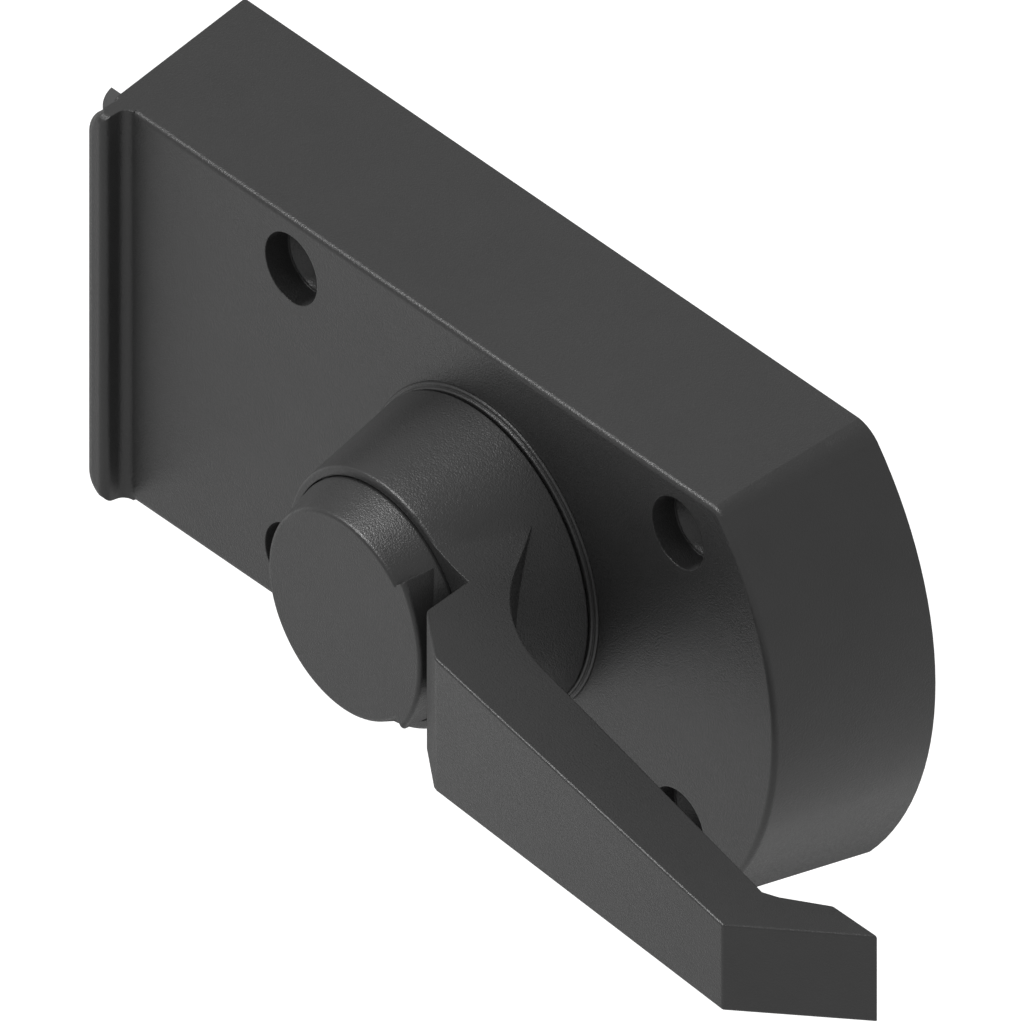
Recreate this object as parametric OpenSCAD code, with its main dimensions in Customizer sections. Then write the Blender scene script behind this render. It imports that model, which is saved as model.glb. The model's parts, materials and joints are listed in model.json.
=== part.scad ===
// Surface-mounted door lock with a sprung latch, a lever handle and a turn button.
// The origin is on the spindle axis at the back of the case, where the case lies on the door.
// The latch points to -X, +Y runs into the door, +Z is up. Depths are counted forward from the
// back of the case, so a depth of 20 lies at Y = -20.

/* [Case] */
// Height of the front face
face_h = 50.8; // [50:0.1:60]
// From the spindle axis to the left end of the front face
face_left = 61.3; // [60.8:0.1:75]
// From the spindle axis to the crown of the round end, on the front face
face_right = 48; // [47:0.1:60]
// Radius of the round end, on the front face
end_r = 38.66; // [36:0.02:48]
// Draft angle of the sides
draft = 7; // [5:0.5:8]
// Thickness of the side walls
wall = 2.5; // [2:0.1:3]
// Thickness of the front wall
front_wall = 3; // [2.8:0.1:4]
// Rounding where the round end meets the top and the bottom
corner_r = 2.4; // [1.5:0.1:4]
// Rounding of the front edges
edge_r = 0.7; // [0.3:0.1:1]
// Width of the bead along the left end
lip_w = 3.3; // [2.6:0.1:4]
// Height of the bead above the front face
lip_h = 3.1; // [2.6:0.1:4]
// How far the bead stands out past the left end
lip_out = 1.3; // [0.8:0.1:1.6]
// Outer rounding of the bead
lip_r = 1.33; // [0.8:0.01:1.4]
// Hollow rounding between the bead and the front face
lip_root_r = 1.2; // [0.6:0.1:2]

/* [Mounting holes] */
// Distance between the screw holes along the case
hole_dx = 64; // [60:1:66]
// Distance between the screw holes across the case
hole_dz = 38; // [38:0.5:40]
// Diameter of the screw holes
hole_d = 4.5; // [3.5:0.1:5]
// Diameter of the recess round each screw
recess_d = 8.6; // [7.5:0.1:9]
// Depth of the straight part of the recess
recess_depth = 3.2; // [2:0.1:4]
// Diameter of the countersink at the foot of the recess
sink_d = 8; // [7:0.1:8.4]
// Diameter of the column round each screw hole
column_d = 10.4; // [10:0.1:11]

/* [Back plate] */
// Thickness of the back plate
back_t = 1.5; // [1.2:0.1:2.5]
// Width of the case rim round the back plate
back_rim = 1.3; // [1:0.1:1.6]
// Gap between the back plate and the rim
back_gap = 0.1; // [0.05:0.01:0.2]
// Thread diameter of the back plate screws
plate_screw_d = 3; // [2.5:0.5:3]
// Head diameter of the back plate screws
plate_head_d = 5.6; // [5:0.1:6]
// Length of the back plate screws
plate_screw_l = 9; // [7:0.5:11]
// Distance from the axis to the left pair of back plate screws
plate_screw_left = 53; // [52:0.1:54]
// Half the distance between the left pair of screws
plate_screw_up = 19.5; // [19:0.1:20]
// Distance from the axis to the right pair of back plate screws
plate_screw_right = 41; // [38:0.1:42]
// Half the distance between the right pair of screws
plate_screw_side = 11; // [9:0.1:12]

/* [Latch bolt] */
// Height of the bolt
bolt_h = 26.8; // [24:0.1:27]
// Thickness of the bolt
bolt_t = 8.64; // [8.4:0.02:9.6]
// How far the bolt stands out of the case end, at the bolt's back face
bolt_out = 13.3; // [12:0.1:13.6]
// Length of the bolt head inside the case
bolt_seat = 13; // [11:0.1:14]
// Radius of the bolt's nose
nose_r = 6.5; // [5.5:0.1:7]
// Angle of the bolt's slanted face
nose_angle = 35; // [30:1:40]
// Height of the bolt's tail
tail_h = 18; // [14:0.5:20]
// Length of the tail behind the pocket
tail_end = 3.35; // [2.5:0.05:4]
// Thickness of metal in front of the pocket
pocket_floor = 1.8; // [1.4:0.1:2.4]
// Running gap round the bolt
bolt_gap = 0.25; // [0.15:0.01:0.4]
// Play that the bolt has when it is pushed right in
bolt_play = 0.4; // [0.2:0.1:1]

/* [Bolt spring] */
// Wire diameter of the bolt spring
bolt_wire_d = 0.7; // [0.5:0.05:0.8]
// Mean diameter of the bolt spring
bolt_coil_d = 4; // [3.8:0.1:4.4]
// Turns of the bolt spring
bolt_turns = 9; // [7:1:10]
// Diameter of the spring's seat in the bolt
spring_bore_d = 5.4; // [5.2:0.1:5.8]
// Depth of the spring's seat in the bolt
spring_bore_l = 8.5; // [8:0.1:9]
// Diameter of the guide pin inside the spring
guide_d = 2.6; // [2:0.1:2.8]
// Length of the guide pin in front of the lug
guide_l = 8.4; // [6:0.1:8.5]

/* [Carriage] */
// Thickness of the carriage plate
carriage_t = 3.2; // [2.5:0.1:4]
// Height of the carriage plate
carriage_h = 25; // [23:0.5:26]
// Width of the tower with the finger slot
tower_w = 13; // [11:0.5:14]
// Height of the metal above the finger slot
tower_cap = 2.5; // [2:0.1:3]
// Height of the tongue that draws the bolt
tongue_h = 12; // [10:0.5:14]
// Metal left of the window and right of it
carriage_end = 4.3; // [3:0.1:5]
// Distance from the axis to the lug's right face
lug_x = 42; // [41:0.1:43]
// Thickness of the lug
lug_t = 3; // [2:0.1:3.5]
// Height of the lug
lug_h = 10; // [8:0.5:11]

/* [Follower] */
// Radius at which the finger works
finger_r = 17.4; // [16:0.1:17.6]
// Lever travel in degrees
lever_turn = 45; // [40:1:45]
// Radius of the finger's round end
finger_end_r = 2.2; // [1.8:0.1:2.5]
// Half width of the finger at its root
finger_root = 3; // [2.4:0.1:3.4]
// Half width of the finger's neck
finger_neck = 1; // [0.8:0.1:1.2]
// Diameter of the follower's body
body_d = 16; // [15.2:0.1:16.4]
// Diameter of the bearings at both ends of the follower
journal_d = 14.4; // [14:0.1:14.8]
// Bearing clearance on the radius
run_gap = 0.05; // [0.02:0.01:0.09]
// Width across the square that carries the lever
square_w = 10; // [8:0.1:10]
// Length of that square
square_l = 10; // [8:0.1:10.4]
// Width across the socket for the outside handle's square bar
socket_w = 8.1; // [7:0.1:8.2]
// Depth of that socket
socket_depth = 8; // [6:0.1:8.4]
// Radius at which the return spring pushes on the follower's peg
peg_reach = 13; // [12.6:0.1:13.4]
// Diameter of the follower's peg
peg_d = 2.4; // [2:0.1:2.6]

/* [Bushes and rose] */
// Thickness of the rear bush's flange
rear_flange_t = 2.9; // [2:0.1:4]
// Outer diameter of the rear bush's flange
rear_flange_d = 23; // [21:0.5:26]
// Outer diameter of both bushes in their holes
bush_d = 20; // [18.5:0.1:21]
// Diameter of the front bush's flange
front_flange_d = 27.6; // [24:0.2:28]
// Thickness of the front bush's flange
front_flange_t = 0.6; // [0.4:0.05:0.7]
// Width of the rose ring
rose_w = 4.8; // [4.3:0.1:5.8]
// Height of the rose ring
rose_h = 0.7; // [0.6:0.05:0.9]
// Width of the rose ring's outer step
rose_step = 0.45; // [0.3:0.05:0.6]
// Gap between the flange of the front bush and the rose ring
rose_gap = 0.4; // [0.3:0.05:0.8]

/* [Return spring] */
// Wire diameter of the return spring
coil_wire_d = 1.3; // [1:0.05:1.3]
// Mean diameter of the return spring
coil_d = 19.2; // [19:0.1:19.6]
// Length of the return spring's straight legs
leg_l = 7.5; // [6.5:0.1:8]
// Diameter of the spring post
post_d = 3.6; // [3:0.1:4]
// Direction of the spring post, in degrees from upright
post_angle = 150; // [140:1:160]

/* [Lever] */
// Gap between the lever hub and the front of the case
hub_gap = 1; // [0.9:0.05:1.4]
// Diameter of the hub at the case
hub_base_d = 36.8; // [35:0.1:37]
// Width of the hub's rim round the turn button's seat
hub_rim_w = 0.95; // [0.8:0.05:1.3]
// From the front of the case to the front of the hub
hub_h = 14.85; // [14.5:0.05:16]
// Rounding of the hub's front edge
hub_edge_r = 0.45; // [0.2:0.05:0.5]
// From the spindle axis to the end of the lever
arm_reach = 81.86; // [76:0.02:90]
// From the front of the case to the front of the arm
arm_front = 25.56; // [24:0.02:28]
// Thickness of the arm
arm_t = 7.5; // [6:0.1:9]
// Length of the bevel at the arm's outer end, along the arm
bevel_run = 12.3; // [10:0.1:14]
// From the front of the case to the arm's end
arm_end_front = 14.3; // [12:0.1:16]
// Width of the arm's end
arm_end_w = 7.28; // [5:0.02:9]
// Height of the arm where it bends back
arm_h = 11.2; // [9:0.1:13]
// Height of the arm's top edge over the axis, where it would cross the axis
arm_top = 13.05; // [12.5:0.05:14]
// Fall of the arm's top edge over its length
arm_fall = 0.192; // [0.17:0.002:0.21]
// Fall of the arm's bottom edge over its length
arm_under_fall = 0.065; // [0.04:0.005:0.09]
// Room between the turn button and the pocket wall in the arm
pocket_gap = 0.96; // [0.7:0.01:1.6]
// From the pocket wall to the start of the arm's front face
shoulder_run = 7.4; // [6.8:0.1:8.4]
// Radius of the hollow under the arm beside the hub
arm_hollow_r = 16.6; // [14:0.2:18]
// Slant of the arm's root behind that hollow, in degrees from the spindle axis
arm_root_slant = 32.4; // [30:0.2:36]
// From the spindle axis to the arm's root at the front of the case
arm_root_x = 10.3; // [9.8:0.1:11]
// Radius of the blend between the hub and the arm's top
arm_blend_r = 20; // [16:0.5:24]
// Radius of the blend between the hub and the arm's underside
under_blend_r = 4; // [2:0.5:6]
// Thread diameter of the lever's grub screw
grub_d = 5; // [4:0.5:5]
// Length of the grub screw
grub_l = 8; // [6:0.5:9]

/* [Turn button] */
// Diameter of the turn button at the hub
button_base_d = 27.9; // [27.6:0.05:28]
// Diameter of the turn button at its front
button_front_d = 24.5; // [24:0.1:26]
// From the front of the case to the front of the turn button
button_front = 19.88; // [19.2:0.02:21]
// Rounding of the turn button's front edge
button_edge_r = 0.5; // [0.3:0.1:0.8]
// Radius of the grip's outer face
grip_r = 17.3; // [16:0.1:20]
// Half angle of the grip
grip_angle = 44; // [35:0.5:46]
// How far the grip's corners stand back from the button's largest radius
grip_inset = 0.12; // [0.05:0.01:0.3]
// Depth of the seat for the button in the hub
seat_depth = 0.95; // [0.7:0.05:1.2]
// Gap round the turn button in that seat
seat_gap = 0.2; // [0.15:0.05:0.3]
// Wall of the turn button
button_wall = 2; // [1.6:0.1:2.4]
// Diameter of the button's inner boss
button_boss_d = 10.4; // [9:0.2:12]

/* [Button spindle] */
// Diameter of the button spindle
stem_d = 6; // [5.5:0.1:6.4]
// Width across the square in the turn button
stem_square_w = 4.1; // [3.6:0.1:4.2]
// How far the spindle's crank pin stands off the axis
crank_r = 1.7; // [1.5:0.05:1.75]
// Diameter of the crank pin
crank_d = 1.6; // [1.4:0.1:1.7]
// Thickness of the retaining clip
clip_t = 0.7; // [0.6:0.05:0.8]
// Outer diameter of the retaining clip
clip_d = 9.2; // [8.6:0.1:9.4]

// Width of the spring washer under the turn button
washer_w = 3.2; // [2.6:0.1:3.6]
// Thickness of the spring washer
washer_t = 0.3; // [0.25:0.05:0.35]
// How far the spring washer is dished
washer_dish = 0.25; // [0.2:0.05:0.3]

/* [Locking bar] */
// Thickness of the locking bar
bar_t = 3; // [2.4:0.1:3.2]
// Width of the locking bar
bar_w = 7.2; // [6.8:0.1:7.3]
// Width of the bar's nose
bar_nose_w = 4; // [3:0.1:4.2]
// Sliding gap round the bar
bar_gap = 0.15; // [0.1:0.01:0.2]
// Thickness of the lock ring
ring_t = 4; // [3.8:0.1:4.4]
// Outer diameter of the lock ring
ring_d = 22.8; // [22.4:0.1:23]
// Distance from the axis to the lock ring's screws
ring_ear = 14.6; // [14.4:0.1:15.4]
// Diameter of the lock ring's ears
ring_ear_d = 6.4; // [6:0.1:6.8]
// Thickness of the ears
ring_ear_t = 2; // [1.6:0.1:2.4]
// Thread diameter of the lock ring's screws
ring_screw_d = 3; // [2.5:0.5:3]

/* [Hidden] */
$fn = 96;

// Small clearances that belong to no single size
face_play = 0.3;
seat_play = 0.05;
// How far the rounded corners stand proud of the sides they join
corner_ease = 0.02;
over = 1;
far = 120;

// Depth of each layer, counted forward from the back
carriage_d0 = back_t + rear_flange_t + face_play;
carriage_d1 = carriage_d0 + carriage_t;
bolt_d0 = carriage_d1 + 0.36;
bolt_d1 = bolt_d0 + bolt_t;
inside_d = bolt_d1 + 0.5;
case_d = inside_d + front_wall;

// Outline of the case
slope = tan(draft);
end_cx = face_right - end_r;
lip_x1 = face_left + lip_out;
lip_x0 = lip_x1 - lip_w;
lip_merge_d = case_d - lip_out / slope;
bolt_end_x = face_left + (case_d - bolt_d0) * slope;

// Travel of the carriage and the bolt
lean = lever_turn / 2;
travel = 2 * finger_r * sin(lean);
slot_x = -finger_r * sin(lean);
slot_foot = finger_r * cos(lean) - 1.88;
slot_mouth = 7.1;
slot_w = 2 * (finger_end_r + 0.2);
slot_top = finger_r + finger_end_r + 0.3;
window_r = body_d / 2 + 0.2;

// Places along the bolt
tip_x = -(bolt_end_x + bolt_out);
bolt_head_x = -(bolt_end_x - bolt_seat);
pocket_x1 = -lug_x + 0.15;
pocket_x0 = -lug_x - lug_t - bolt_out - bolt_play;
bolt_tail_x = pocket_x1 + tail_end;
nose_drop = 2.06;
nose_cx = tip_x + sqrt(nose_r * nose_r - nose_drop * nose_drop);
nose_cd = bolt_d0 - nose_drop;
spring_d = bolt_d0 + (bolt_t - pocket_floor) / 2 + 0.5;
pocket_h = lug_h + 2 * 0.3;

// Depths round the follower
ring_d0 = inside_d - ring_t;
bar_d1 = inside_d - 0.6;
bar_d0 = bar_d1 - bar_t;
body_d1 = inside_d - 0.25;
hub_d0 = case_d + hub_gap;
hub_d1 = case_d + hub_h;
rose_bore_d = front_flange_d + 2 * rose_gap;
rose_d = rose_bore_d + 2 * rose_w;
seat_d = button_base_d + 2 * seat_gap;
hub_front_d = seat_d + 2 * hub_rim_w;
pocket_x = button_base_d / 2 + pocket_gap;
grip_corner = button_base_d / 2 - grip_inset;
seat_d0 = hub_d1 - seat_depth;
square_d1 = hub_d0 + square_l;
floor_d0 = seat_d0 - 1.1;
rear_d0 = 0.4;
socket_d1 = rear_d0 + socket_depth;
spring_d0 = carriage_d1 + coil_wire_d / 2 + 0.5;
spring_d1 = ring_d0 - coil_wire_d / 2 - 0.35;

// The crank pin's rise and fall moves the locking bar
bar_travel = 2 * crank_r * sin(45);
crank_x = crank_r * cos(45);
crank_z = crank_r * sin(45);
bar_top = crank_z + crank_d / 2 + 1;
bar_foot = 4.4;
bar_nose = body_d / 2 - 0.2;
notch_r = bar_nose + bar_travel + 0.4;
ring_bore_d = body_d + 0.6;

// The return spring's ends: each straight leg leaves the coil along its tangent and bears on the
// inside of its peg or post
peg_off = coil_d / 2 + coil_wire_d / 2 + peg_d / 2 + 0.08;
peg_along = sqrt(peg_reach * peg_reach - peg_off * peg_off);
peg_turn = atan(peg_along / peg_off);
leg_b_angle = -lean - peg_turn;
post_off = coil_d / 2 + coil_wire_d / 2 + post_d / 2 + 0.08;
post_along = 5.5;
leg_a_angle = post_angle + atan(post_along / post_off);
post_reach = sqrt(post_off * post_off + post_along * post_along);

// Places on the button
button_d0 = seat_d0 + face_play;
button_d1 = case_d + button_front;
button_floor = button_d1 - button_wall;
boss_d0 = seat_d0 + washer_dish + washer_t + 0.15;
// The button is straight up to here and tapers from here to its front, where the grip is wider
grip_d0 = hub_d1 + 0.25;
washer_r = stem_d / 2 + 0.4;
grip_cx = grip_corner * cos(grip_angle) - sqrt(pow(grip_r, 2) - pow(grip_corner * sin(grip_angle), 2));

// Shapes are drawn flat and then set into the lock: [x, z] for slabs that face the front,
// [z, depth] for bars along X, [x, depth] for columns along Z and [radius, depth] for turned pieces
module slab(d0, d1) rotate([90, 0, 0]) translate([0, 0, d0]) linear_extrude(d1 - d0) children();
module bar_x(x0, x1) translate([x0, 0, 0]) rotate([180, -90, 0]) linear_extrude(x1 - x0) children();
module column_z(z0, z1) translate([0, 0, z1]) rotate([180, 0, 0]) linear_extrude(z1 - z0) children();
module turned() rotate([90, 0, 0]) rotate_extrude() children();
module rod(d0, d1, r) rotate([90, 0, 0]) translate([0, 0, d0]) cylinder(h = d1 - d0, r = r);
module rod_x(x0, x1, r) translate([x0, 0, 0]) rotate([0, 90, 0]) cylinder(h = x1 - x0, r = r);
module rod_z(z0, z1, r) translate([0, 0, z0]) cylinder(h = z1 - z0, r = r);
module at(x, z) translate([x, 0, z]) children();
module block(x0, x1, d0, d1, z0, z1) translate([x0, -d1, z0]) cube([x1 - x0, d1 - d0, z1 - z0]);
// Turned about the spindle axis as the lever turns
module swung(angle) rotate([0, angle, 0]) children();

// Half of a drafted section: s is its half width at depth d1, with a rounded front edge r
module half_section(s, d0, d1, r) {
    c = s - r * (1 - sin(draft)) / cos(draft);
    polygon([
        [0, d0], [s + (d1 - d0) * slope, d0],
        [c + r * cos(draft), d1 - r + r * sin(draft)], [c, d1], [0, d1]
    ]);
    if (r > 0) translate([c, d1 - r]) circle(r);
}

// The wedge between the top of the case and the round end, seen from the corner's centre
module corner_wedge(cx, cz)
    polygon([[cx, cz], [cx, cz + far], [cx + far, cz + far], [cx + (cx - end_cx) * 3, cz * 4]]);

// The case's form, moved in by inset, from depth d0 to depth d1
module case_form(inset, d0, d1, corner, edge) {
    grow = (case_d - d1) * slope - inset;
    h = face_h / 2 + grow;
    r = end_r + grow;
    left = face_left + grow;
    cz = h - corner;
    cx = end_cx + sqrt(pow(r - corner, 2) - cz * cz);
    difference() {
        intersection() {
            bar_x(-far, far) for (s = [0, 1]) mirror([s, 0]) half_section(h, d0, d1, edge);
            column_z(-far, far)
                polygon([[-left - (d1 - d0) * slope, d0], [far, d0], [far, d1], [-left, d1]]);
            union() {
                at(end_cx, 0) turned() half_section(r, d0, d1, edge);
                block(-far, end_cx, d0, d1, -far, far);
            }
        }
        // The sharp corners between the round end, the top and the bottom
        for (s = [0, 1]) mirror([0, 0, s]) difference() {
            slab(d0 - 2 * over, d1 + 2 * over) corner_wedge(cx, cz);
            at(cx, cz) turned() half_section(corner + corner_ease, d0 - over, d1 + corner_ease, edge);
        }
    }
}

// Outline of the back plate and its seat, moved in by inset from the case's back edge
module back_outline(inset) {
    grow = case_d * slope - inset;
    h = face_h / 2 + grow;
    r = end_r + grow;
    corner = corner_r + case_d * slope - inset;
    cz = h - corner;
    cx = end_cx + sqrt(pow(r - corner, 2) - cz * cz);
    difference() {
        intersection() {
            translate([-face_left - grow, -h]) square([far * 2, h * 2]);
            union() {
                translate([end_cx, 0]) circle(r);
                translate([-far, -far]) square([far + end_cx, far * 2]);
            }
        }
        for (s = [0, 1]) mirror([0, s]) difference() {
            corner_wedge(cx, cz);
            translate([cx, cz]) circle(corner + corner_ease);
        }
    }
}

// Outer side of the bead, seen as a half section from the middle of its end rounding
module bead_edge(out) {
    polygon([
        [-over, lip_merge_d], [out, lip_merge_d], [out, case_d + lip_h - lip_r],
        [out - lip_r, case_d + lip_h], [-over, case_d + lip_h]
    ]);
    translate([out - lip_r, case_d + lip_h - lip_r]) circle(lip_r);
}

// The bead stands on the left end of the front face. Its outer corners are rounded like its crest,
// its inner side has a rounded crest and runs out into the front face in a hollow.
module bead() {
    crest_d = case_d + lip_h;
    inner_r = lip_r * 0.7;
    end_z = face_h / 2 - lip_w;
    end_h = face_h / 2 - lip_h * slope;
    intersection() {
        union() {
            column_z(-end_z, end_z) translate([-lip_x0, 0]) mirror([1, 0]) bead_edge(lip_w);
            for (s = [0, 1]) mirror([0, 0, s]) at(-lip_x0, end_z)
                intersection() {
                    turned() intersection() {
                        bead_edge(lip_w);
                        translate([0, 0]) square([lip_w + over, far]);
                    }
                    block(-far, lip_root_r / 4, 0, far, 0, far);
                }
            block(-lip_x0 - lip_w / 2, -lip_x0 + lip_root_r, case_d - wall, crest_d - lip_r, -far, far);
            block(-lip_x0, -lip_x0 + lip_root_r, case_d - wall, crest_d, -far, far);
        }
        bar_x(-far, 0) for (s = [0, 1]) mirror([s, 0]) half_section(end_h, 0, crest_d, lip_r);
        column_z(-far, far) difference() {
            union() {
                polygon([
                    [-far, 0], [-far, crest_d], [-lip_x0 - inner_r, crest_d],
                    [-lip_x0, crest_d - inner_r], [-lip_x0, case_d + lip_root_r],
                    [-lip_x0 + lip_root_r, case_d + lip_root_r], [-lip_x0 + lip_root_r, 0]
                ]);
                translate([-lip_x0 - inner_r, crest_d - inner_r]) circle(inner_r);
            }
            translate([-lip_x0 + lip_root_r, case_d + lip_root_r]) circle(lip_root_r);
        }
    }
}

module at_mounting_holes()
    for (x = [-1, 1], z = [-1, 1]) at(x * hole_dx / 2, z * hole_dz / 2) children();

module at_plate_screws()
    for (s = [-1, 1]) {
        at(-plate_screw_left, s * plate_screw_up) children();
        at(plate_screw_right, s * plate_screw_side) children();
    }

module at_ring_screws() for (s = [-1, 1]) at(0, s * ring_ear) children();

module at_post() at(post_reach * sin(post_angle), post_reach * cos(post_angle)) children();

module case() color([0.24, 0.24, 0.25]) {
    rib_z = bolt_h / 2 + bolt_gap;
    difference() {
        union() {
            difference() {
                union() {
                    case_form(0, 0, case_d, corner_r, edge_r);
                    bead();
                }
                case_form(wall, -over, inside_d, corner_r, 0);
            }
            // Columns, screw bosses and the ribs that guide the bolt stand on the front wall
            at_mounting_holes() rod(back_t, inside_d + over, column_d / 2);
            at_plate_screws() rod(back_t, inside_d + over, plate_screw_d / 2 + 1.7);
            for (s = [0, 1]) mirror([0, 0, s])
                block(-bolt_end_x + over, bolt_head_x, bolt_d0, inside_d + over, rib_z, rib_z + 1.5);
        }
        slab(-over, back_t) back_outline(back_rim);
        at_mounting_holes() {
            rod(-over, case_d + over, hole_d / 2);
            rod(case_d - recess_depth, case_d + over, recess_d / 2);
            turned() polygon([
                [0, case_d - recess_depth], [sink_d / 2, case_d - recess_depth],
                [0, case_d - recess_depth - sink_d / 2]
            ]);
        }
        at_plate_screws() rod(-over, plate_screw_l + 0.5, plate_screw_d / 2 + seat_play);
        at_ring_screws() rod(0, case_d - 0.7, ring_screw_d / 2 + seat_play);
        at_post() rod(inside_d - over, case_d - front_wall / 2, post_d / 2 + seat_play);
        rod(inside_d - over, case_d + over, bush_d / 2 + seat_play);
        rod(case_d - 0.4, case_d + over, rose_d / 2 - 1.5 + seat_play);
        // The bolt's opening in the left end
        block(-far, -bolt_end_x + wall + 2 * over, bolt_d0 - bolt_gap, bolt_d1 + bolt_gap, -rib_z, rib_z);
    }
}

module back_plate() color([0.62, 0.63, 0.65])
    difference() {
        slab(0, back_t) back_outline(back_rim + back_gap);
        at_mounting_holes() rod(-over, back_t + over, hole_d / 2);
        at_plate_screws() plate_screw(seat_play);
        rod(-over, back_t + over, bush_d / 2 + seat_play);
    }

// One countersunk screw, grown by play for its seat
module plate_screw(play) {
    head_l = (plate_head_d - plate_screw_d) / 2;
    rod(0, plate_screw_l, plate_screw_d / 2 + play);
    turned() polygon([
        [0, play > 0 ? -over : 0], [plate_head_d / 2 + play, play > 0 ? -over : 0],
        [plate_head_d / 2 + play, 0], [plate_screw_d / 2 + play, head_l], [0, head_l]
    ]);
}

module back_plate_screws() color([0.7, 0.7, 0.72])
    at_plate_screws() difference() {
        plate_screw(0);
        // Cross recess
        for (a = [0, 90]) rotate([0, a, 0]) block(-1.5, 1.5, -over, 1, -0.35, 0.35);
    }

module rose_ring() color([0.22, 0.22, 0.23])
    turned() difference() {
        union() {
            translate([rose_bore_d / 2, case_d]) square([rose_d / 2 - rose_bore_d / 2, rose_h / 2]);
            translate([rose_bore_d / 2, case_d])
                square([rose_d / 2 - rose_step - rose_bore_d / 2, rose_h]);
            translate([rose_bore_d / 2, case_d - 0.4])
                square([rose_d / 2 - 1.5 - rose_bore_d / 2, 0.4]);
        }
        // Small chamfers on both steps
        for (p = [[rose_d / 2, case_d + rose_h / 2], [rose_d / 2 - rose_step, case_d + rose_h]])
            translate(p) rotate(45) square(0.2, center = true);
    }

module front_bush() color([0.88, 0.86, 0.8])
    turned() {
        bore = journal_d / 2 + run_gap;
        translate([bore, inside_d]) square([bush_d / 2 - bore, front_wall]);
        translate([bore, case_d]) square([front_flange_d / 2 - bore, front_flange_t]);
    }

module rear_bush() color([0.88, 0.86, 0.8])
    turned() {
        bore = journal_d / 2 + run_gap;
        translate([bore, 0.1]) square([bush_d / 2 - bore, back_t - 0.1]);
        translate([bore, back_t]) square([rear_flange_d / 2 - bore, rear_flange_t]);
    }

module ring_notch() block(-bar_nose_w / 2 - 0.2, bar_nose_w / 2 + 0.2, 0, case_d, -notch_r, 0);

module lock_ring() color([0.72, 0.66, 0.5])
    difference() {
        union() {
            rod(ring_d0, inside_d, ring_d / 2);
            at_ring_screws() rod(inside_d - ring_ear_t, inside_d, ring_ear_d / 2);
            block(-ring_ear_d / 2, ring_ear_d / 2, inside_d - ring_ear_t, inside_d, -ring_ear, ring_ear);
        }
        rod(ring_d0 - over, inside_d + over, ring_bore_d / 2);
        ring_notch();
        swung(lever_turn) ring_notch();
        at_ring_screws() rod(0, case_d, ring_screw_d / 2 + seat_play);
    }

module lock_ring_screws() color([0.7, 0.7, 0.72])
    at_ring_screws() {
        head_d0 = inside_d - ring_ear_t - 1.5;
        difference() {
            union() {
                rod(head_d0, inside_d - ring_ear_t, ring_screw_d * 0.9);
                rod(head_d0, case_d - 1, ring_screw_d / 2);
            }
            block(-far, far, 0, head_d0 + 0.7, -0.35, 0.35);
        }
    }

module spring_post() color([0.7, 0.7, 0.72])
    at_post() {
        rod(spring_d1 - coil_wire_d, case_d - front_wall / 2 - seat_play, post_d / 2);
    }

// A round wire along a path. The side vector is one that the wire never runs along.
function unit(v) = v / norm(v);
function heading(path, i) =
    unit(path[min(i + 1, len(path) - 1)] - path[max(i - 1, 0)]);
function wire_ring(path, i, r, side, sides) =
    let (t = heading(path, i), a = unit(cross(t, side)), b = cross(t, a))
    [for (k = [0:sides - 1]) path[i] + r * (cos(360 * k / sides) * a + sin(360 * k / sides) * b)];

module wire(path, r, side, sides = 8) {
    n = len(path);
    points = [for (i = [0:n - 1]) each wire_ring(path, i, r, side, sides)];
    walls = [
        for (i = [0:n - 2], k = [0:sides - 1])
            let (a = i * sides + k, b = i * sides + (k + 1) % sides)
            each [[a, b, b + sides], [a, b + sides, a + sides]]
    ];
    foot = [for (k = [sides - 1:-1:0]) k];
    head = [for (k = [0:sides - 1]) (n - 1) * sides + k];
    polyhedron(points, concat(walls, [foot, head]));
}

function coil_point(a, d) = [coil_d / 2 * sin(a), -d, coil_d / 2 * cos(a)];
function coil_heading(a) = [cos(a), 0, -sin(a)];

module lever_spring() color([0.75, 0.75, 0.78]) {
    last = leg_b_angle + 3 * 360;
    steps = 58;
    coil = [
        for (i = [0:steps])
            let (f = i / steps)
            coil_point(leg_a_angle + (last - leg_a_angle) * f, spring_d1 + (spring_d0 - spring_d1) * f)
    ];
    path = concat(
        [coil[0] - leg_l * coil_heading(leg_a_angle)],
        coil,
        [coil[steps] + leg_l * coil_heading(last)]
    );
    wire(path, coil_wire_d / 2, [0, 1, 0]);
}

// Outline of the arm seen from above: [x, depth]
module arm_plan() {
    front = case_d + arm_front;
    end = case_d + arm_end_front;
    bend_x = arm_reach - bevel_run;
    // The arm's rear face and its slanting root meet in a hollow
    rear = [bend_x - 1.56, front - arm_t + 0.6];
    away = unit([1, 0.0523]);
    root = [sin(arm_root_slant), cos(arm_root_slant)];
    u = (rear[0] - arm_root_x - tan(arm_root_slant) * (rear[1] - case_d))
        / (away[0] - away[1] * tan(arm_root_slant));
    corner = rear - u * away;
    t = arm_hollow_r * tan(acos(root * away) / 2);
    centre = corner - t * root + arm_hollow_r * [root[1], -root[0]];
    difference() {
        polygon([
            [2, hub_d0 + 0.2], [2, hub_d1], [pocket_x, hub_d1], [pocket_x + 1.08, hub_d1 + 6.77],
            [pocket_x + shoulder_run - 0.6, front - 0.15], [pocket_x + shoulder_run, front], [bend_x, front],
            [arm_reach, end], [arm_reach - arm_end_w, end], rear, corner + t * away,
            corner - t * root, [arm_root_x + tan(arm_root_slant) * (hub_gap + 0.2), hub_d0 + 0.2]
        ]);
        translate(centre) circle(arm_hollow_r);
    }
}

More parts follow.
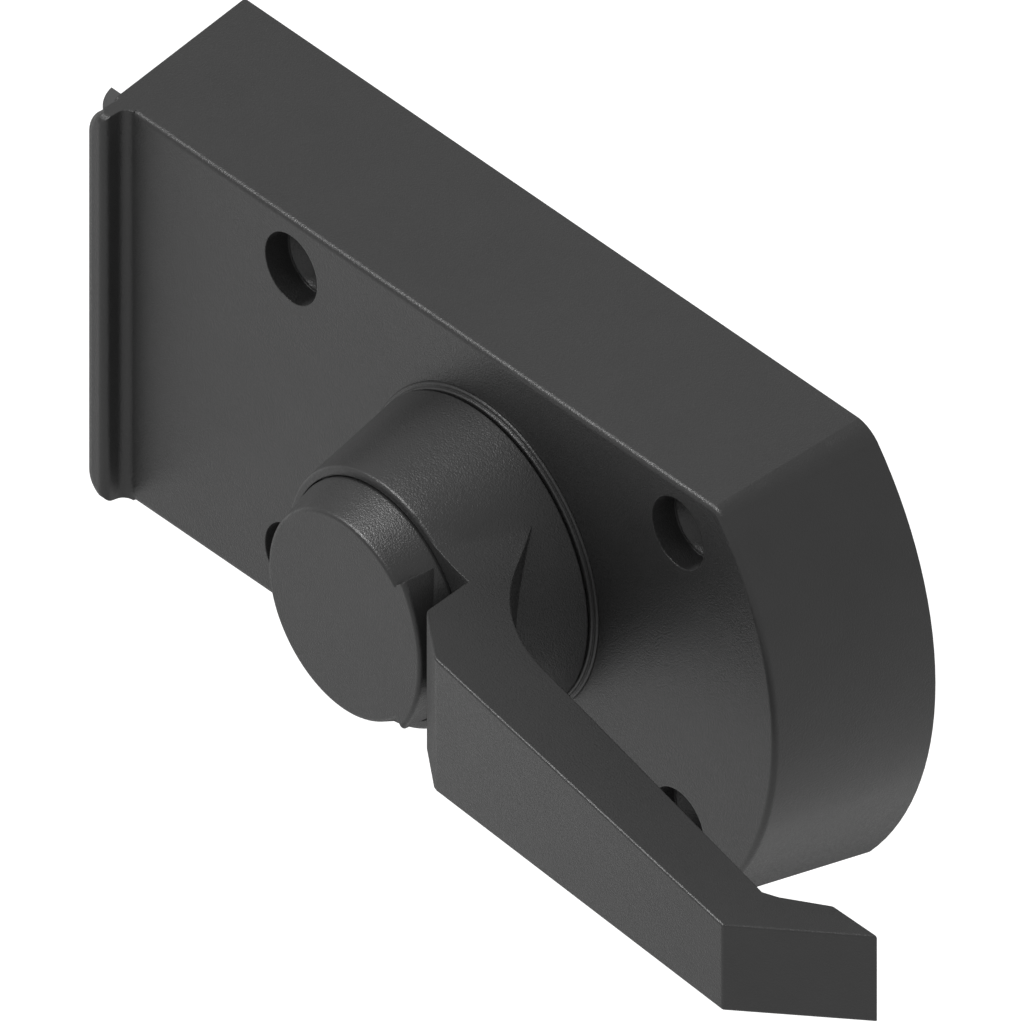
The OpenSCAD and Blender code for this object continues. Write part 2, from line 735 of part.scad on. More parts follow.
// Height of the arm's top edge over the axis, and of its underside below it, square to each edge
arm_up = arm_top * cos(atan(arm_fall));
bend_z = arm_top - arm_fall * (arm_reach - bevel_run);
arm_down = (arm_h - bend_z - arm_under_fall * (arm_reach - bevel_run)) * cos(atan(arm_under_fall));

function hub_r(d) = hub_base_d / 2 - (hub_base_d - hub_front_d) / 2 * (d - hub_d0) / (hub_d1 - hub_d0);
// How far along the arm a blend of radius r starts, when it is tangent to the hub at depth d
function blend_start(d, h, r) = sqrt(pow(hub_r(d) + r, 2) - pow(h + r, 2));

// Everything above the arm's top, with the hollow blend that follows the hub's taper. The blend's
// middle runs on an arc through its places at the hub's front, middle and back.
module above_arm() {
    r = arm_blend_r;
    p = [for (d = [hub_d1, (hub_d0 + hub_d1) / 2, hub_d0]) [blend_start(d, arm_up, r), d]];
    chord = p[2] - p[0];
    mid = (p[0] + p[2]) / 2;
    out = unit([chord[1], -chord[0]]) * (chord[1] > 0 ? 1 : -1);
    sag = (p[1] - mid) * out;
    big = (pow(norm(chord) / 2, 2) + sag * sag) / (2 * sag);
    c = mid - (big - sag) * out;
    rotate([0, atan(arm_fall), 0]) translate([c[0], -c[1], arm_up]) rotate_extrude() {
        translate([big, 0]) square([far * 2, far]);
        translate([big, r]) circle(r);
    }
}

// Outline of the arm seen from the front: [x, z]. Its underside runs into the hub in a hollow.
module arm_side() {
    bend_x = arm_reach - bevel_run;
    rim = hub_front_d / 2;
    down = unit([-arm_under_fall, -1]);
    along = [-down[1], down[0]];
    c = down * (arm_down + under_blend_r) + along * blend_start(hub_d1, arm_down, under_blend_r);
    difference() {
        polygon([
            [2, 0], [2, rim - 2], [6, rim - 1], [rim, rim - 1], [bend_x, rim - 1], [arm_reach + over, bend_z],
            [arm_reach + over, bend_z - arm_h], [bend_x, bend_z - arm_h],
            c - down * under_blend_r, c * rim / norm(c)
        ]);
        translate(c) circle(under_blend_r);
        translate([bend_x, bend_z]) square([far, far]);
    }
}

module lever_handle() color([0.25, 0.25, 0.26])
    difference() {
        union() {
            turned() {
                lean_hub = atan((hub_base_d - hub_front_d) / 2 / (hub_d1 - hub_d0));
                c = hub_front_d / 2 - hub_edge_r * (1 - sin(lean_hub)) / cos(lean_hub);
                polygon([
                    [0, hub_d0], [hub_base_d / 2 - 0.15, hub_d0], [hub_base_d / 2, hub_d0 + 0.15],
                    [c + hub_edge_r * cos(lean_hub), hub_d1 - hub_edge_r * (1 - sin(lean_hub))],
                    [c, hub_d1], [0, hub_d1]
                ]);
                translate([c, hub_d1 - hub_edge_r]) circle(hub_edge_r);
            }
            difference() {
                intersection() {
                    column_z(-far, far) arm_plan();
                    slab(0, far) arm_side();
                }
                above_arm();
            }
        }
        // Seat of the turn button, its spindle's hole, the square socket and the grub screw's hole
        rod(seat_d0, hub_d1 + over, seat_d / 2);
        rod(floor_d0 - over, seat_d0 + over, stem_d / 2 + face_play);
        block(-square_w / 2 - seat_play, square_w / 2 + seat_play, hub_d0 - over, floor_d0,
            -square_w / 2 - seat_play, square_w / 2 + seat_play);
        grub_place() rod_z(-far, 0, grub_d / 2 + seat_play);
    }

module grub_place() translate([0, -(hub_d0 + square_l * 0.55), 0]) children();

module lever_grub_screw() color([0.5, 0.5, 0.52])
    grub_place() {
        top = -square_w / 2 - seat_play * 2;
        difference() {
            rod_z(top - grub_l, top, grub_d / 2);
            translate([0, 0, top - grub_l - over])
                cylinder(h = grub_d / 2 + over, d = grub_d * 0.57, $fn = 6);
        }
    }

// The finger leans back by half the lever's travel when the lever is at rest
module finger_outline() {
    neck = finger_r - 1.4;
    polygon([
        [-finger_root, 0], [-finger_root, body_d / 2], [-finger_neck, neck], [-finger_neck, finger_r],
        [finger_neck, finger_r], [finger_neck, neck], [finger_root, body_d / 2], [finger_root, 0]
    ]);
    translate([0, finger_r]) circle(finger_end_r);
}

module follower() color([0.6, 0.6, 0.62])
    difference() {
        union() {
            rod(rear_d0, hub_d0, journal_d / 2);
            rod(carriage_d0, body_d1, body_d / 2);
            block(-square_w / 2, square_w / 2, hub_d0 - over, square_d1, -square_w / 2, square_w / 2);
            swung(-lean) {
                slab(carriage_d0, carriage_d1) finger_outline();
                at(0, peg_reach) rod(carriage_d1 - over, spring_d0 + coil_wire_d, peg_d / 2);
            }
        }
        rod(bar_d1 - over, square_d1 + over, stem_d / 2 + run_gap);
        // Channel of the locking bar
        block(-bar_w / 2 - bar_gap, bar_w / 2 + bar_gap, bar_d0 - 0.2, bar_d1 + 0.2,
            -body_d, bar_top + 0.3);
        // Socket of the outside handle's square bar
        block(-socket_w / 2, socket_w / 2, 0, socket_d1, -socket_w / 2, socket_w / 2);
    }

module retaining_clip() color([0.5, 0.5, 0.52])
    slab(floor_d0 - 0.15 - clip_t, floor_d0 - 0.15)
        difference() {
            circle(clip_d / 2);
            circle(stem_d / 2 - 0.5);
            translate([-stem_d * 0.3, -far]) square([stem_d * 0.6, far]);
        }

module spring_washer() color([0.7, 0.7, 0.72])
    turned() polygon([
        [washer_r, seat_d0 + washer_dish], [washer_r, seat_d0 + washer_dish + washer_t],
        [washer_r + washer_w, seat_d0 + washer_t], [washer_r + washer_w, seat_d0]
    ]);

module turn_button() color([0.26, 0.26, 0.27])
    difference() {
        union() {
            turned() button_section(button_front_d / 2, button_base_d / 2);
            intersection() {
                at(grip_cx, 0) turned() button_section(grip_r, grip_r);
                slab(grip_d0, far) polygon([
                    [0, 0], [far * cos(grip_angle), far * sin(grip_angle)],
                    [far * cos(grip_angle), -far * sin(grip_angle)]
                ]);
            }
        }
        difference() {
            rod(0, button_floor, button_base_d / 2 - button_wall - 0.8);
            rod(boss_d0, far, button_boss_d / 2);
        }
        square_hole = stem_square_w + 2 * seat_play;
        block(-square_hole / 2, square_hole / 2, 0, button_floor + 0.6, -square_hole / 2, square_hole / 2);
    }

// Half section of the turn button: radius r1 at the front edge, r0 at the hub
module button_section(r1, r0) {
    e = button_edge_r;
    a = atan((r0 - r1) / (button_d1 - grip_d0));
    c = r1 + e * sin(a) / cos(a) - e / cos(a);
    polygon([
        [0, button_d0], [r0, button_d0], [r0, grip_d0],
        [c + e * cos(a), button_d1 - e + e * sin(a)], [c, button_d1], [0, button_d1]
    ]);
    translate([c, button_d1 - e]) circle(e);
}

module button_spindle() color([0.6, 0.6, 0.62])
    difference() {
        union() {
            rod(bar_d1 + 0.2, boss_d0 - 0.1, stem_d / 2);
            block(-stem_square_w / 2, stem_square_w / 2, boss_d0 - over, button_floor + 0.5,
                -stem_square_w / 2, stem_square_w / 2);
            at(crank_x, crank_z) rod(bar_d0 + 0.4, bar_d1 + over, crank_d / 2);
        }
        // Groove of the retaining clip
        turned() translate([stem_d / 2 - 0.55, floor_d0 - 0.2 - clip_t]) square([over, clip_t + 0.1]);
    }

module locking_bar() color([0.75, 0.62, 0.35])
    difference() {
        union() {
            block(-bar_w / 2, bar_w / 2, bar_d0, bar_d1, -bar_foot, bar_top);
            block(-bar_nose_w / 2, bar_nose_w / 2, bar_d0, bar_d1, -bar_nose, -bar_foot + over);
        }
        // Slot in which the crank pin runs
        block(crank_x - crank_d / 2 - 0.2, crank_r + crank_d / 2 + 0.2, 0, case_d,
            crank_z - crank_d / 2 - 0.12, crank_z + crank_d / 2 + 0.12);
    }

module carriage_outline() {
    left = -window_r - travel - carriage_end;
    difference() {
        union() {
            translate([left, -carriage_h / 2])
                square([window_r * 2 + travel + carriage_end * 2, carriage_h]);
            translate([slot_x - tower_w / 2, 0]) square([tower_w, slot_top + tower_cap]);
            translate([-lug_x - lug_t, -tongue_h / 2]) square([lug_x + lug_t + left + over, tongue_h]);
        }
        // Window round the follower, opening for the finger and the finger's slot
        for (x = [0, -travel]) translate([x, 0]) circle(window_r);
        translate([-travel, -window_r]) square([travel, window_r * 2]);
        polygon([
            [slot_x - slot_mouth, window_r - 0.4], [slot_x - slot_w / 2, slot_foot],
            [slot_x + slot_w / 2, slot_foot], [slot_x + slot_mouth, window_r - 0.4]
        ]);
        translate([slot_x - slot_w / 2, slot_foot - over]) square([slot_w, slot_top - slot_foot + over]);
    }
}

module carriage() color([0.66, 0.66, 0.68])
    difference() {
        union() {
            slab(carriage_d0, carriage_d1) carriage_outline();
            block(-lug_x - lug_t, -lug_x, carriage_d0, bolt_d1 - pocket_floor - 0.3, -lug_h / 2, lug_h / 2);
        }
        translate([0, -spring_d, 0]) rod_x(-lug_x - lug_t - over, -lug_x + over, guide_d / 2 + seat_play);
    }

module guide_pin() color([0.7, 0.7, 0.72])
    translate([0, -spring_d, 0]) {
        rod_x(-lug_x - lug_t - guide_l, -lug_x - 0.1, guide_d / 2);
    }

// Section of the bolt seen from above: [x, depth]
module bolt_plan() {
    tangent = [nose_cx - nose_r * sin(nose_angle), nose_cd + nose_r * cos(nose_angle)];
    polygon([
        [bolt_head_x, bolt_d0], [bolt_head_x, bolt_d1],
        [tangent[0] + (bolt_d1 - tangent[1]) / tan(nose_angle), bolt_d1], tangent,
        [nose_cx, bolt_d0]
    ]);
    intersection() {
        translate([nose_cx, nose_cd]) circle(nose_r);
        translate([nose_cx - nose_r, bolt_d0]) square([nose_r + over, nose_r]);
    }
}

module latch_bolt() color([0.35, 0.35, 0.36])
    difference() {
        union() {
            column_z(-bolt_h / 2, bolt_h / 2) bolt_plan();
            block(bolt_head_x - over, bolt_tail_x, bolt_d0, bolt_d1, -tail_h / 2, tail_h / 2);
        }
        block(pocket_x0, pocket_x1, 0, bolt_d1 - pocket_floor, -pocket_h / 2, pocket_h / 2);
        translate([0, -spring_d, 0]) rod_x(pocket_x0 - spring_bore_l, pocket_x0 + over, spring_bore_d / 2);
    }

module bolt_spring() color([0.75, 0.75, 0.78]) {
    x0 = pocket_x0 - spring_bore_l + bolt_wire_d / 2 + 0.1;
    x1 = -lug_x - lug_t - bolt_wire_d / 2 - 0.1;
    per_turn = 14;
    steps = bolt_turns * per_turn;
    path = [
        for (i = [0:steps])
            let (a = 360 * i / per_turn)
            [x0 + (x1 - x0) * i / steps, bolt_coil_d / 2 * sin(a) - spring_d, bolt_coil_d / 2 * cos(a)]
    ];
    wire(path, bolt_wire_d / 2, [1, 0, 0], 6);
}

case();
back_plate();
back_plate_screws();
rose_ring();
front_bush();
rear_bush();
lock_ring();
lock_ring_screws();
spring_post();
lever_spring();
lever_handle();
lever_grub_screw();
follower();
retaining_clip();
spring_washer();
turn_button();
button_spindle();
locking_bar();
carriage();
guide_pin();
latch_bolt();
bolt_spring();
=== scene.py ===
import json
import math

import bmesh
import bpy
from mathutils import Matrix, Vector

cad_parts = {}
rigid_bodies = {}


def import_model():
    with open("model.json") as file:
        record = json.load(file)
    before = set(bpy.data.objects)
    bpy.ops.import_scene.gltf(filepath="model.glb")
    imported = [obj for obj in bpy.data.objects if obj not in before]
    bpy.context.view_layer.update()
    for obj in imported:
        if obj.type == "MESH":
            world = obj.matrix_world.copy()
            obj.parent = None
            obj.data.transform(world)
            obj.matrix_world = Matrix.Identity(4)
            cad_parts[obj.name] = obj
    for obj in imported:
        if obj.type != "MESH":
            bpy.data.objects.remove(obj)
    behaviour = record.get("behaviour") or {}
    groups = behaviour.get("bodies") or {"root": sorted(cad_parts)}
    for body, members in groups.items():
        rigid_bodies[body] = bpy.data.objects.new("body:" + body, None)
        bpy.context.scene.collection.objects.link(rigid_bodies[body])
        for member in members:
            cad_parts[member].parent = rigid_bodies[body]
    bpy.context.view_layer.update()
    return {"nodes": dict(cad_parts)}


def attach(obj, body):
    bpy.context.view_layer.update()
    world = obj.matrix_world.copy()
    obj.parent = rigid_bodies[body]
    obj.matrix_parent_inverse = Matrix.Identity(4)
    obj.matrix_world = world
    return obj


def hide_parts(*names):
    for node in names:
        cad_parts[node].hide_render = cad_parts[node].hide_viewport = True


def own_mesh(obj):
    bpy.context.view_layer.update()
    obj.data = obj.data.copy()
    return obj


for leftover in list(bpy.data.objects):
    bpy.data.objects.remove(leftover)
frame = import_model()


# Case: a pressure die casting in zinc alloy, with a standing bead along the latch end.
# It is powder coated in matt black with a fine texture, so its faces are grainy and its
# edges are softly rounded by the film.
def plug(tree, value, slot):
    if isinstance(value, bpy.types.NodeSocket):
        tree.links.new(value, slot)
    else:
        slot.default_value = value


def add(tree, kind, settings=None, **sockets):
    node = tree.nodes.new(kind)
    for key, value in (settings or {}).items():
        setattr(node, key, value)
    for socket, value in sockets.items():
        plug(tree, value, node.inputs[socket.replace("_", " ")])
    return node


def calculate(tree, operation, a, b):
    node = add(tree, "ShaderNodeMath", {"operation": operation})
    plug(tree, a, node.inputs[0])
    plug(tree, b, node.inputs[1])
    return node.outputs[0]


def mixture(tree, first, first_share, second, second_share):
    return calculate(
        tree,
        "ADD",
        calculate(tree, "MULTIPLY", first, first_share),
        calculate(tree, "MULTIPLY", second, second_share),
    )


def from_to(tree, value, between, becomes):
    node = add(
        tree,
        "ShaderNodeMapRange",
        Value=value,
        From_Min=between[0],
        From_Max=between[1],
        To_Min=becomes[0],
        To_Max=becomes[1],
    )
    return node.outputs["Result"]


def dark_to_light(tree, amount, dark, light):
    node = add(tree, "ShaderNodeMix", {"data_type": "RGBA"})
    # The node lists its sockets for numbers and vectors before those for colours
    factor, colour_a, colour_b = node.inputs[0], node.inputs[6], node.inputs[7]
    plug(tree, amount, factor)
    plug(tree, (*dark, 1), colour_a)
    plug(tree, (*light, 1), colour_b)
    return node.outputs[2]


def texture_group(name, sizes, results):
    group = bpy.data.node_groups.new(name, "ShaderNodeTree")
    number = "NodeSocketFloat"
    for socket, size in sizes.items():
        made = group.interface.new_socket(socket, in_out="INPUT", socket_type=number)
        made.default_value = size
    for socket in results:
        group.interface.new_socket(socket, in_out="OUTPUT", socket_type=number)
    source = group.nodes.new("NodeGroupInput")
    sink = group.nodes.new("NodeGroupOutput")
    place = add(group, "ShaderNodeTexCoord").outputs["Object"]
    return group, source, sink, place


def pattern(tree, kind, place, size, count=1.0, settings=None, **sockets):
    scale = calculate(tree, "DIVIDE", count, size)
    return add(tree, kind, settings, Vector=place, Scale=scale, **sockets)


def noise(tree, place, size, **sockets):
    return pattern(tree, "ShaderNodeTexNoise", place, size, **sockets).outputs["Fac"]


def hand_out(group, sink, **results):
    for socket, value in results.items():
        group.links.new(value, sink.inputs[socket])


def powder_texture():
    group, source, sink, place = texture_group(
        "powder_texture", {"Grain": 0.00012, "Cloud": 0.006}, ["Height", "Tone", "Fleck"]
    )
    grain = source.outputs["Grain"]
    fine = noise(group, place, grain, Detail=3.0, Roughness=0.6)
    beads = pattern(
        group,
        "ShaderNodeTexVoronoi",
        place,
        grain,
        count=0.6,
        settings={"feature": "SMOOTH_F1"},
        Smoothness=0.6,
    )
    cloud = noise(group, place, source.outputs["Cloud"], Detail=2.0)
    fleck = pattern(group, "ShaderNodeTexVoronoi", place, grain, count=0.8)
    pick = add(group, "ShaderNodeSeparateColor", Color=fleck.outputs["Color"])
    hand_out(
        group,
        sink,
        Height=mixture(
            group, fine, first_share=1.0, second=beads.outputs["Distance"], second_share=-0.8
        ),
        Tone=mixture(group, fine, first_share=0.6, second=cloud, second_share=0.4),
        Fleck=pick.outputs["Red"],
    )
    return group


powder_group = powder_texture()
powder_relief, powder_specular, film_radius = 0.00003, 0.28, 0.0002
dull_fleck, bright_fleck = 0.4, 0.3


def powder_coat(name, dark, light):
    material = bpy.data.materials.new(name)
    material.use_nodes = True
    tree = material.node_tree
    surface = tree.nodes["Principled BSDF"]
    texture = tree.nodes.new("ShaderNodeGroup")
    texture.node_tree = powder_group
    tone = from_to(tree, texture.outputs["Tone"], between=(0.36, 0.64), becomes=(0.0, 1.0))
    rough = from_to(
        tree, texture.outputs["Fleck"], between=(0.2, 0.9), becomes=(dull_fleck, bright_fleck)
    )
    slant = add(tree, "ShaderNodeLayerWeight", Blend=0.5)
    matt = from_to(tree, slant.outputs["Facing"], between=(0.55, 0.95), becomes=(0.0, 0.5))
    soft_edge = add(tree, "ShaderNodeBevel", {"samples": 4}, Radius=film_radius)
    bump = add(
        tree,
        "ShaderNodeBump",
        Height=texture.outputs["Height"],
        Normal=soft_edge.outputs["Normal"],
        Strength=1.0,
        Distance=powder_relief,
    )
    plug(tree, dark_to_light(tree, tone, dark, light), surface.inputs["Base Color"])
    plug(tree, calculate(tree, "ADD", rough, matt), surface.inputs["Roughness"])
    plug(tree, powder_specular, surface.inputs["Specular IOR Level"])
    plug(tree, bump.outputs["Normal"], surface.inputs["Normal"])
    return material


def finish_node(node, material):
    data = frame["nodes"][node].data
    data.materials.clear()
    data.materials.append(material)


case_dark, case_light = (0.027, 0.027, 0.027), (0.032, 0.032, 0.032)
case_coat = powder_coat("case_powder_coat", case_dark, case_light)
finish_node("case", case_coat)


# Back plate and its countersunk screws: 1.5 mm sheet steel, blanked and zinc plated,
# that closes the case and lies flat on the door. The plating is faintly blue and
# clouded, with the lines of the rolled sheet along it.
def plating_group():
    group, source, sink, place = texture_group(
        "zinc_plating", {"Cloud": 0.004, "Line": 0.0003}, ["Tone", "Height"]
    )
    cloud = noise(group, place, source.outputs["Cloud"], Detail=5.0)
    along = add(group, "ShaderNodeMapping", Vector=place, Scale=(0.03, 1.0, 1.0))
    line = noise(group, along.outputs["Vector"], source.outputs["Line"], Detail=2.0)
    tone = mixture(group, cloud, first_share=0.7, second=line, second_share=0.3)
    hand_out(group, sink, Tone=tone, Height=line)
    return group


plating = plating_group()


def uncoated(name, group, dark, light, rough, relief, metallic=1.0, **group_values):
    material = bpy.data.materials.new(name)
    material.use_nodes = True
    tree = material.node_tree
    surface = tree.nodes["Principled BSDF"]
    texture = tree.nodes.new("ShaderNodeGroup")
    texture.node_tree = group
    for socket, value in group_values.items():
        texture.inputs[socket].default_value = value
    tone = texture.outputs["Tone"]
    middle = (0.35, 0.65)
    shade = from_to(tree, tone, between=middle, becomes=(0.0, 1.0))
    bump = add(
        tree, "ShaderNodeBump", Height=texture.outputs["Height"], Distance=relief
    )
    plug(tree, metallic, surface.inputs["Metallic"])
    plug(tree, dark_to_light(tree, shade, dark, light), surface.inputs["Base Color"])
    plug(tree, from_to(tree, tone, between=middle, becomes=rough), surface.inputs["Roughness"])
    plug(tree, bump.outputs["Normal"], surface.inputs["Normal"])
    return material


plate_zinc = uncoated(
    "zinc_plated_sheet",
    plating,
    dark=(0.47, 0.485, 0.51),
    light=(0.54, 0.55, 0.57),
    rough=(0.4, 0.3),
    relief=0.000004,
)
finish_node("back_plate", plate_zinc)
screw_zinc = uncoated(
    "zinc_plated_screws",
    plating,
    dark=(0.5, 0.51, 0.53),
    light=(0.62, 0.62, 0.63),
    rough=(0.38, 0.26),
    relief=0.000003,
    Cloud=0.0015,
    Line=0.0001,
)
finish_node("back_plate_screws", screw_zinc)


# Bearing of the lever: a coated rose ring on the face of the case round the hub, and a
# front and a rear bush moulded in natural nylon that carry the follower.
finish_node("rose_ring", case_coat)


def moulded_group():
    group, source, sink, place = texture_group(
        "moulded_nylon", {"Flow": 0.002, "Skin": 0.00015}, ["Tone", "Height"]
    )
    flow = noise(group, place, source.outputs["Flow"], Distortion=0.6)
    skin = noise(group, place, source.outputs["Skin"])
    hand_out(group, sink, Tone=flow, Height=skin)
    return group


bush_nylon = uncoated(
    "natural_nylon",
    moulded_group(),
    dark=(0.76, 0.73, 0.64),
    light=(0.81, 0.79, 0.71),
    rough=(0.5, 0.38),
    relief=0.000008,
    metallic=0.0,
)
for bush in ("front_bush", "rear_bush"):
    finish_node(bush, bush_nylon)


# Lock ring and its two screws: a sintered steel ring screwed inside the front of the case,
# with the notches that take the locking bar. Pressed powder leaves fine dark pores.
def pore_group():
    group, source, sink, place = texture_group(
        "sinter_pores", {"Pore": 0.0004}, ["Tone", "Height"]
    )
    cell = pattern(group, "ShaderNodeTexVoronoi", place, source.outputs["Pore"])
    pit = from_to(group, cell.outputs["Distance"], between=(0.1, 0.45), becomes=(0.35, 0.65))
    hand_out(group, sink, Tone=pit, Height=pit)
    return group


sintered_steel = uncoated(
    "sintered_steel",
    pore_group(),
    dark=(0.2, 0.195, 0.19),
    light=(0.4, 0.39, 0.38),
    rough=(0.6, 0.4),
    relief=0.00002,
)
finish_node("lock_ring", sintered_steel)
finish_node("lock_ring_screws", screw_zinc)


# Springs and their post: the lever's return spring, the latch spring, the dished washer
# and the retaining clip are hard drawn steel, grey from tempering; the post is plated.
def drawn_group():
    group, source, sink, place = texture_group(
        "drawn_wire", {"Streak": 0.0002}, ["Tone", "Height"]
    )
    streak = noise(group, place, source.outputs["Streak"], Detail=4.0, Distortion=1.5)
    hand_out(group, sink, Tone=streak, Height=streak)
    return group


drawn_wire = drawn_group()
spring_steel = uncoated(
    "tempered_spring_steel",
    drawn_wire,
    dark=(0.26, 0.26, 0.28),
    light=(0.46, 0.46, 0.48),
    rough=(0.42, 0.26),
    relief=0.000005,
)
for spring in ("lever_spring", "bolt_spring", "spring_washer", "retaining_clip"):
    finish_node(spring, spring_steel)
finish_node("spring_post", screw_zinc)


# Latch spring: a close coil of round wire on the guide pin, which bears on the carriage and
# sits in its hole in the latch bolt. A copy of the spring on its own mesh rides with the
# carriage.
latch_coil = bpy.data.objects.new("latch_coil", frame["nodes"]["bolt_spring"].data.copy())
bpy.context.scene.collection.objects.link(latch_coil)
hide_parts("bolt_spring")
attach(latch_coil, "carriage")
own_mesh(latch_coil)


# Lever handle: a zinc die casting with a round hub and a long arm, in the same black
# powder coat as the case, held to the follower by a plated grub screw.
handle_dark, handle_light = (0.029, 0.029, 0.029), (0.034, 0.034, 0.034)
handle_coat = powder_coat("handle_powder_coat", handle_dark, handle_light)
finish_node("lever_handle", handle_coat)
finish_node("lever_grub_screw", screw_zinc)


# Lever casting: the same handle with the last 12 mm of its arm level on top, where the
# bevelled end starts. The casting's long edges are broken by the tumbling before coating.
arm_bend_x, arm_tip_top, arm_tip_fall = 0.06956, -0.000306, 0.0035
hub_clear_x, hub_clear_y, edge_break_width = 0.0158, -0.0225, 0.00025
weld_gap, bend_play = 0.000002, 0.00001
flat_turn, pocket_turn, crease_turn, corner_turn = 0.4, 3, 24, 30
pocket_facing = 0.1


def lever_casting(solid):
    shape = bmesh.new()
    shape.from_mesh(solid.data)
    bmesh.ops.remove_doubles(shape, verts=shape.verts, dist=weld_gap)
    bmesh.ops.bisect_plane(
        shape,
        geom=shape.verts[:] + shape.edges[:] + shape.faces[:],
        dist=weld_gap,
        plane_co=(arm_bend_x, 0, 0),
        plane_no=(1, 0, 0),
    )
    for corner in shape.verts:
        past_bend = corner.co.x > arm_bend_x - bend_play
        if past_bend and corner.co.z > arm_tip_top - arm_tip_fall:
            corner.co.z = arm_tip_top
    bmesh.ops.recalc_face_normals(shape, faces=shape.faces)
    arm_corners = [corner for corner in shape.verts if corner.co.x > hub_clear_x]
    arm_edges = {edge for corner in arm_corners for edge in corner.link_edges}
    bmesh.ops.dissolve_limit(
        shape, angle_limit=math.radians(flat_turn), verts=arm_corners, edges=list(arm_edges)
    )
    broken = shape.edges.layers.float.new("bevel_weight_edge")
    for face in shape.faces:
        face.smooth = True
    for edge in shape.edges:
        turn = math.degrees(edge.calc_face_angle(0))
        facing = [face.normal.y for face in edge.link_faces]
        behind = min(facing) < pocket_facing < max(facing)
        edge.smooth = not (turn > crease_turn or behind and turn > pocket_turn)
        clear_of_hub = all(
            corner.co.x > hub_clear_x and corner.co.y < hub_clear_y for corner in edge.verts
        )
        if turn > corner_turn and clear_of_hub and edge.is_convex and not behind:
            edge[broken] = 1.0
    casting = bpy.data.meshes.new("lever_casting")
    shape.to_mesh(casting)
    shape.free()
    piece = bpy.data.objects.new("lever_casting", casting)
    edge_break = piece.modifiers.new("edge_break", "BEVEL")
    edge_break.limit_method = "WEIGHT"
    edge_break.width = edge_break_width
    edge_break.segments = 3
    edge_break.use_clamp_overlap = False
    edge_break.harden_normals = True
    bpy.context.scene.collection.objects.link(piece)
    return piece


handle_casting = lever_casting(frame["nodes"]["lever_handle"])
handle_casting.data.materials.append(handle_coat)
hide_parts("lever_handle")
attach(handle_casting, "lever")


# Turn button: the round grip in the hub, coated like the lever, on a machined steel
# spindle that reaches through the follower. The carriage is machined of the same steel.
finish_node("turn_button", handle_coat)


def machined_group():
    group, source, sink, place = texture_group(
        "machined_marks", {"Feed": 0.00012}, ["Tone", "Height"]
    )
    across = add(group, "ShaderNodeMapping", Vector=place, Scale=(0.08, 1.0, 0.08))
    ridge = noise(group, across.outputs["Vector"], source.outputs["Feed"], Detail=3.0)
    hand_out(group, sink, Tone=ridge, Height=ridge)
    return group


machined = machined_group()
machined_steel = uncoated(
    "machined_steel",
    machined,
    dark=(0.44, 0.44, 0.46),
    light=(0.62, 0.62, 0.64),
    rough=(0.4, 0.24),
    relief=0.000004,
)
for piece in ("button_spindle", "follower", "carriage"):
    finish_node(piece, machined_steel)


# Locking bar and guide pin: a small machined brass bar that the button pushes out of the
# follower, and the plated pin inside the latch spring.
machined_brass = uncoated(
    "machined_brass",
    machined,
    dark=(0.62, 0.46, 0.2),
    light=(0.8, 0.62, 0.32),
    rough=(0.36, 0.22),
    relief=0.000003,
)
finish_node("locking_bar", machined_brass)
finish_node("guide_pin", screw_zinc)


# Latch bolt: a steel bolt with a slanted face, blackened and oiled to a satin sheen.
# The black film hides the metal, so it shows as a dark coat with the drawn bar's streaks.
latch_black = uncoated(
    "blackened_steel",
    drawn_wire,
    dark=(0.035, 0.035, 0.036),
    light=(0.05, 0.05, 0.051),
    rough=(0.5, 0.36),
    relief=0.000004,
    metallic=0.0,
)
finish_node("latch_bolt", latch_black)


# Studio: a pale floor below, white surroundings where the camera or a polished face looks
# past the lock, even light from all round, and one softbox above the front left that only
# shows in the gloss of the coats.
floor_drop, floor_half = 0.25, 4.0
floor_grey, floor_roughness, floor_glow = (0.8, 0.8, 0.8), 0.9, 0.6
ambient_level = 0.7
softbox_side, softbox_distance, softbox_power = 0.13, 1.0, 16.5
softbox_towards = Vector((-0.31, -0.42, 0.86)).normalized()


def white_where_seen(tree):
    rays = tree.nodes.new("ShaderNodeLightPath").outputs
    either = calculate(tree, "ADD", rays["Is Camera Ray"], rays["Is Glossy Ray"])
    seen = calculate(tree, "ADD", either, rays["Is Transmission Ray"])
    return add(tree, "ShaderNodeClamp", Value=seen).outputs["Result"]


world = bpy.data.worlds.new("studio")
bpy.context.scene.world = world
world.use_nodes = True
sky = world.node_tree
background = sky.nodes["Background"]
background.inputs["Color"].default_value = (1, 1, 1, 1)
brightness = from_to(
    sky, white_where_seen(sky), between=(0.0, 1.0), becomes=(ambient_level, 1.0)
)
plug(sky, brightness, background.inputs["Strength"])

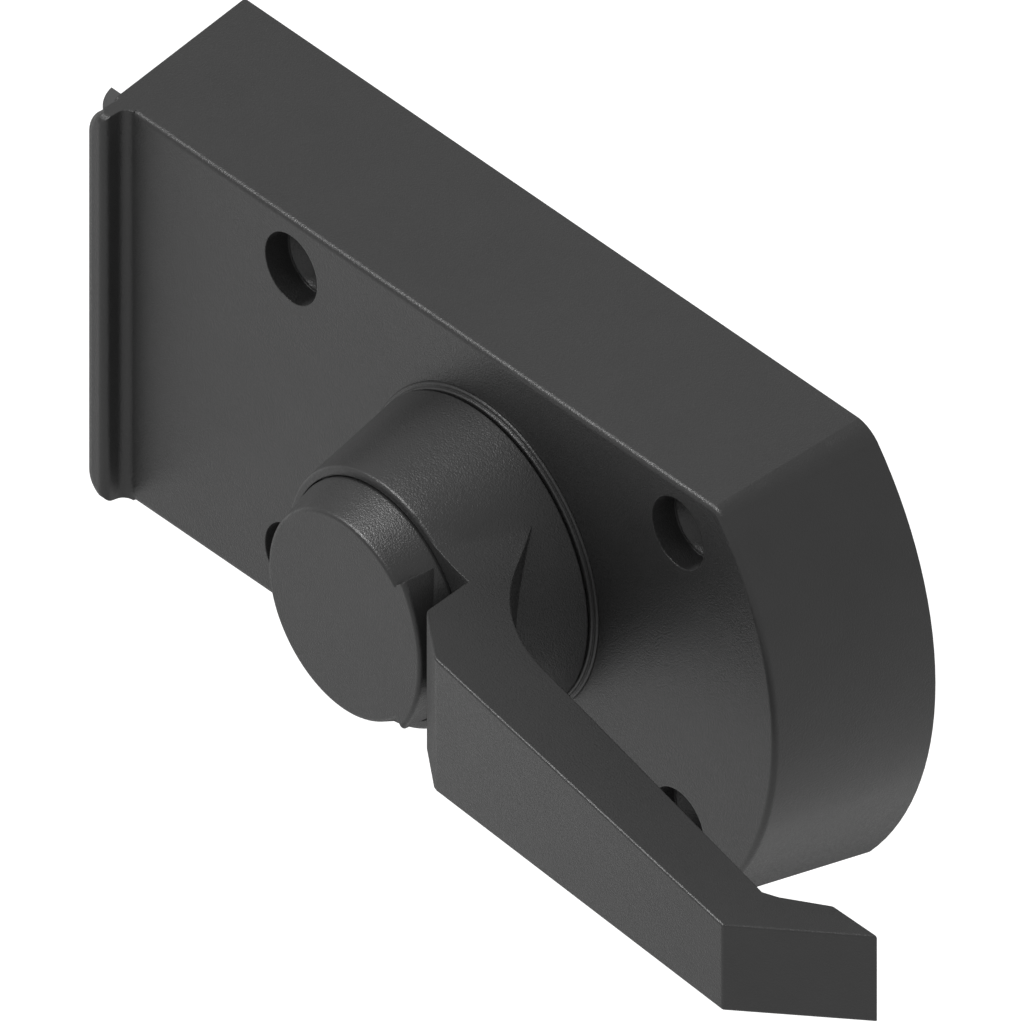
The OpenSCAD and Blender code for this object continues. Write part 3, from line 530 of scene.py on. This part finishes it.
floor_mesh = bpy.data.meshes.new("floor")
floor_mesh.from_pydata(
    [
        (x * floor_half, y * floor_half, -floor_drop)
        for x, y in ((-1, -1), (1, -1), (1, 1), (-1, 1))
    ],
    [],
    [(0, 1, 2, 3)],
)
floor = bpy.data.objects.new("floor", floor_mesh)
bpy.context.scene.collection.objects.link(floor)
floor_paint = bpy.data.materials.new("floor_paint")
floor_paint.use_nodes = True
tree = floor_paint.node_tree
paint = tree.nodes["Principled BSDF"]
plug(tree, (*floor_grey, 1), paint.inputs["Base Color"])
plug(tree, floor_roughness, paint.inputs["Roughness"])
glow = add(tree, "ShaderNodeEmission")
seen_glow = from_to(
    tree, white_where_seen(tree), between=(0.0, 1.0), becomes=(0.0, floor_glow)
)
plug(tree, seen_glow, glow.inputs["Strength"])
both = add(tree, "ShaderNodeAddShader")
tree.links.new(paint.outputs[0], both.inputs[0])
tree.links.new(glow.outputs[0], both.inputs[1])
tree.links.new(both.outputs[0], tree.nodes["Material Output"].inputs["Surface"])
floor_mesh.materials.append(floor_paint)

lamp = bpy.data.lights.new("overhead_softbox", "AREA")
lamp.shape = "SQUARE"
lamp.size = softbox_side
lamp.energy = softbox_power
softbox = bpy.data.objects.new("overhead_softbox", lamp)
softbox.location = softbox_towards * softbox_distance
softbox.rotation_euler = softbox_towards.to_track_quat("Z", "Y").to_euler()
softbox.visible_diffuse = False
bpy.context.scene.collection.objects.link(softbox)


# Camera: the photograph is a parallel projection, taken from the front right, above.
# Its scale and the place of the spindle axis in it set the lens and the aim.
camera_azimuth, camera_elevation = math.radians(49.8), math.radians(35.264)
metres_per_pixel, picture_pixels = 0.0001068, 1024
origin_right, origin_up = 118.4, 37.0
camera_distance = 1.0
right = Vector((math.cos(camera_azimuth), math.sin(camera_azimuth), 0))
away = Vector(
    (
        math.sin(camera_azimuth) * math.cos(camera_elevation),
        -math.cos(camera_azimuth) * math.cos(camera_elevation),
        math.sin(camera_elevation),
    )
)
up = away.cross(right)
aim = (right * -origin_right + up * -origin_up) * metres_per_pixel
lens = bpy.data.cameras.new("camera")
lens.type = "ORTHO"
lens.ortho_scale = picture_pixels * metres_per_pixel
camera = bpy.data.objects.new("camera", lens)
bpy.context.scene.collection.objects.link(camera)
turned = Matrix((right, up, away)).transposed().to_4x4()
camera.matrix_world = Matrix.Translation(aim + away * camera_distance) @ turned
bpy.context.scene.camera = camera
bpy.context.scene.view_settings.view_transform = "Standard"
